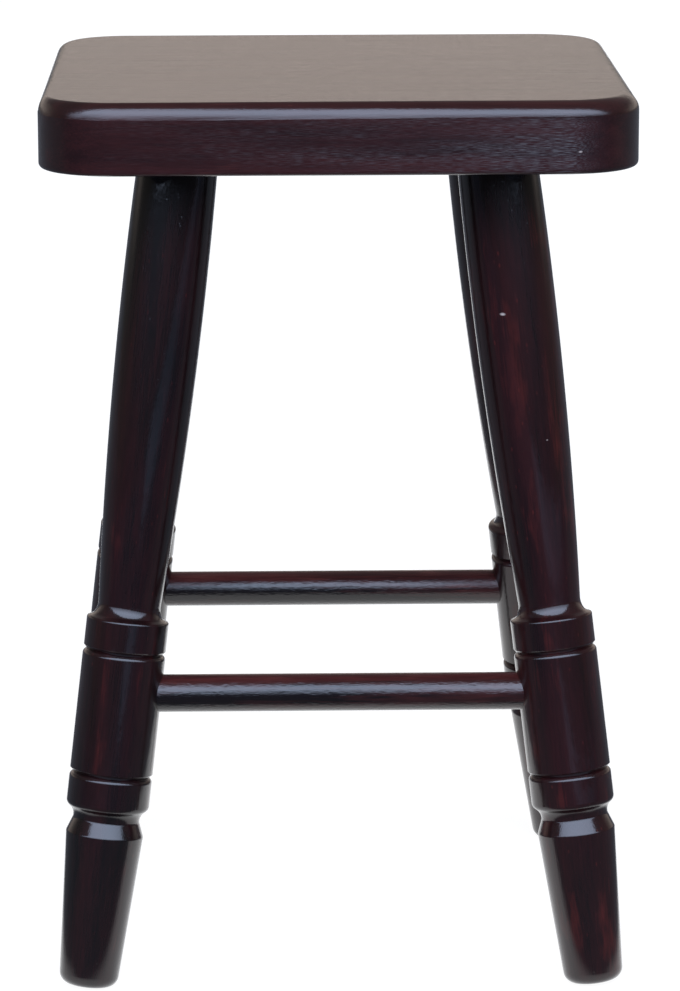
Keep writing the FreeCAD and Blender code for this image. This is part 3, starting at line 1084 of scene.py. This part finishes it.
sky = add_node(tree, "ShaderNodeMapRange", {
    "Value": z, "From Min": sky_low, "From Max": sky_high,
    "To Min": sky_low_strength, "To Max": sky_high_strength},
    interpolation_type="SMOOTHSTEP").outputs["Result"]
window_light = add_node(tree, "ShaderNodeBackground", {
    "Color": linear(window_colour), "Strength": sky}).outputs["Background"]

# %% The room round it
room_side, room_front, room_overhead = "#5c5a59", "#35353a", "#6a6465"
front_from, front_full = -0.1, -0.7
overhead_from, overhead_full = 0.1, 0.6
wall_foot_height, wall_head_top, wall_head_full = 0.05, 0.4, 0.26
wall_from, wall_full = 0.1, 0.75
wall_shade_height = 0.3
wall_low, wall_high = "#d8cac1", "#a49a94"

front = add_node(tree, "ShaderNodeMapRange", {
    "Value": y, "From Min": front_from, "From Max": front_full},
    interpolation_type="SMOOTHSTEP").outputs["Result"]
overhead = add_node(tree, "ShaderNodeMapRange", {
    "Value": z, "From Min": overhead_from, "From Max": overhead_full},
    interpolation_type="SMOOTHSTEP").outputs["Result"]
upright = add_node(tree, "ShaderNodeMix", {
    "Factor": front, 6: linear(room_side), 7: linear(room_front)},
    data_type="RGBA").outputs[2]
room = add_node(tree, "ShaderNodeMix", {
    "Factor": overhead, 6: upright, 7: linear(room_overhead)}, data_type="RGBA").outputs[2]

# %% The paler wall at the back
wall_foot = add_node(tree, "ShaderNodeMapRange", {
    "Value": z, "From Min": 0.0, "From Max": wall_foot_height},
    interpolation_type="SMOOTHSTEP").outputs["Result"]
wall_head = add_node(tree, "ShaderNodeMapRange", {
    "Value": z, "From Min": wall_head_top, "From Max": wall_head_full},
    interpolation_type="SMOOTHSTEP").outputs["Result"]
wall_behind = add_node(tree, "ShaderNodeMapRange", {
    "Value": y, "From Min": wall_from, "From Max": wall_full},
    interpolation_type="SMOOTHSTEP").outputs["Result"]
wall = add_node(tree, "ShaderNodeMath", {
    0: add_node(tree, "ShaderNodeMath", {
        0: wall_foot, 1: wall_head}, operation="MULTIPLY").outputs[0],
    1: wall_behind}, operation="MULTIPLY").outputs[0]
wall_shade = add_node(tree, "ShaderNodeMapRange", {
    "Value": z, "From Min": 0.0, "From Max": wall_shade_height}).outputs["Result"]
wall_colour = add_node(tree, "ShaderNodeMix", {
    "Factor": wall_shade, 6: linear(wall_low), 7: linear(wall_high)},
    data_type="RGBA").outputs[2]
walled = add_node(tree, "ShaderNodeMix", {
    "Factor": wall, 6: room, 7: wall_colour}, data_type="RGBA").outputs[2]
room_light = add_node(tree, "ShaderNodeBackground", {
    "Color": walled, "Strength": 1.0}).outputs["Background"]
both = add_node(tree, "ShaderNodeMixShader", {
    0: window, 1: room_light, 2: window_light}).outputs[0]
add_node(tree, "ShaderNodeOutputWorld", {"Surface": both})
print("world nodes", len(tree.nodes))
